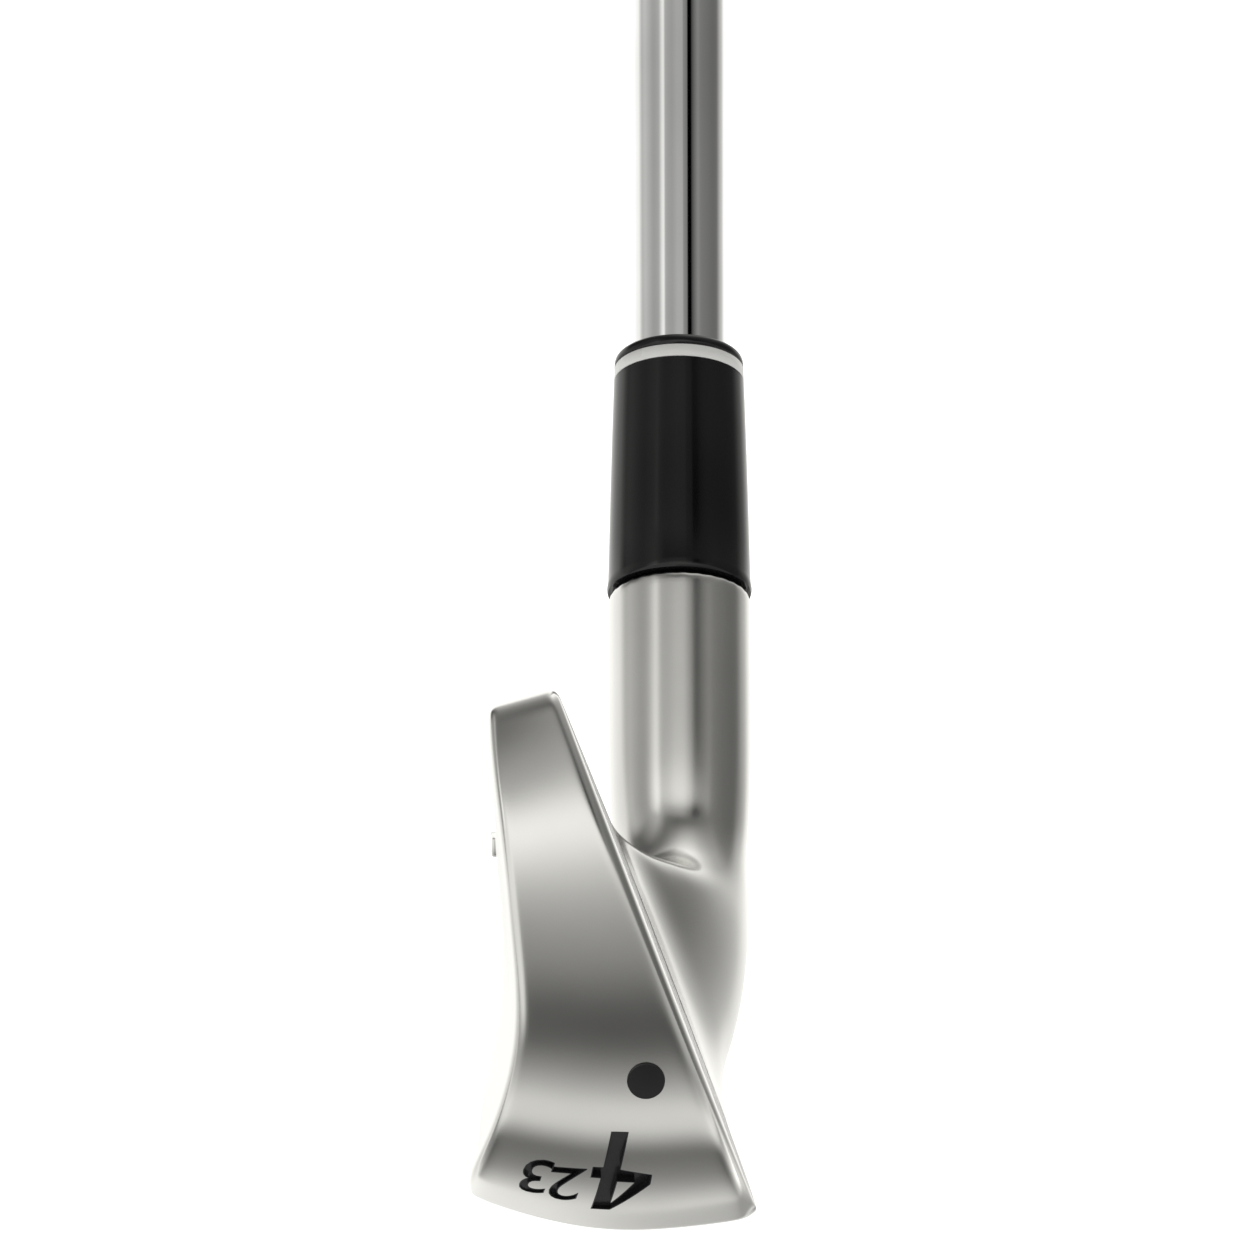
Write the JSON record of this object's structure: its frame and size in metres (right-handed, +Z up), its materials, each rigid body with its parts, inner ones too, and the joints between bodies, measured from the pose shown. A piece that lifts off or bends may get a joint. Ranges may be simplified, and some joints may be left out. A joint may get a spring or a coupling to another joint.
{
  "type": "iron golf club",
  "caption": "Right-handed utility iron: hollow forged head with a set-in face plate, long ferrule, stepped steel shaft and a rubber grip.",
  "frame": {"origin": "point on the shaft's centre line in the grip where the hands hold the club, 110 mm below the butt", "axes": "the club stands soled at address: +X is where the ball goes, +Y runs from the toe towards the player, +Z is up; the shaft's line leans 61 degrees from the ground"},
  "size_m": [0.0359, 0.5557, 0.8609],
  "materials": {
    "satin_chrome": "satin chrome on forged steel",
    "face_steel": "sandblasted steel with milled score lines",
    "chrome": "polished",
    "tungsten": "sintered",
    "brass": "machined",
    "gloss_black": "polished",
    "light_ring": "polished",
    "black_paint": "paint fill",
    "port_black": "moulded, fine matt",
    "soft_polymer": "poured elastomer",
    "glue": "cured epoxy",
    "cork": "raw cork",
    "label": "coated label, blank",
    "tape": "masking tape",
    "grip_rubber": "moulded, fine pattern"
  },
  "bodies": {
    "root": {"head_body": "satin_chrome", "face_plate": "face_steel", "sole_weight": "tungsten", "toe_weight": "tungsten", "damping_insert": "soft_polymer", "toe_port_plug": "port_black", "back_badge": "satin_chrome", "club_number_fill": "black_paint", "loft_first_digit_fill": "black_paint", "loft_second_digit_fill": "black_paint", "ferrule_sleeve": "gloss_black", "ferrule_ring": "light_ring", "ferrule_cap": "gloss_black", "hosel_epoxy": "glue", "tip_weight_pin": "brass", "tip_plug": "cork", "shaft": "chrome", "shaft_band": "label", "grip_tape": "tape", "grip_sleeve": "grip_rubber", "grip_end_cap": "grip_rubber"}
  },
  "joints": []
}
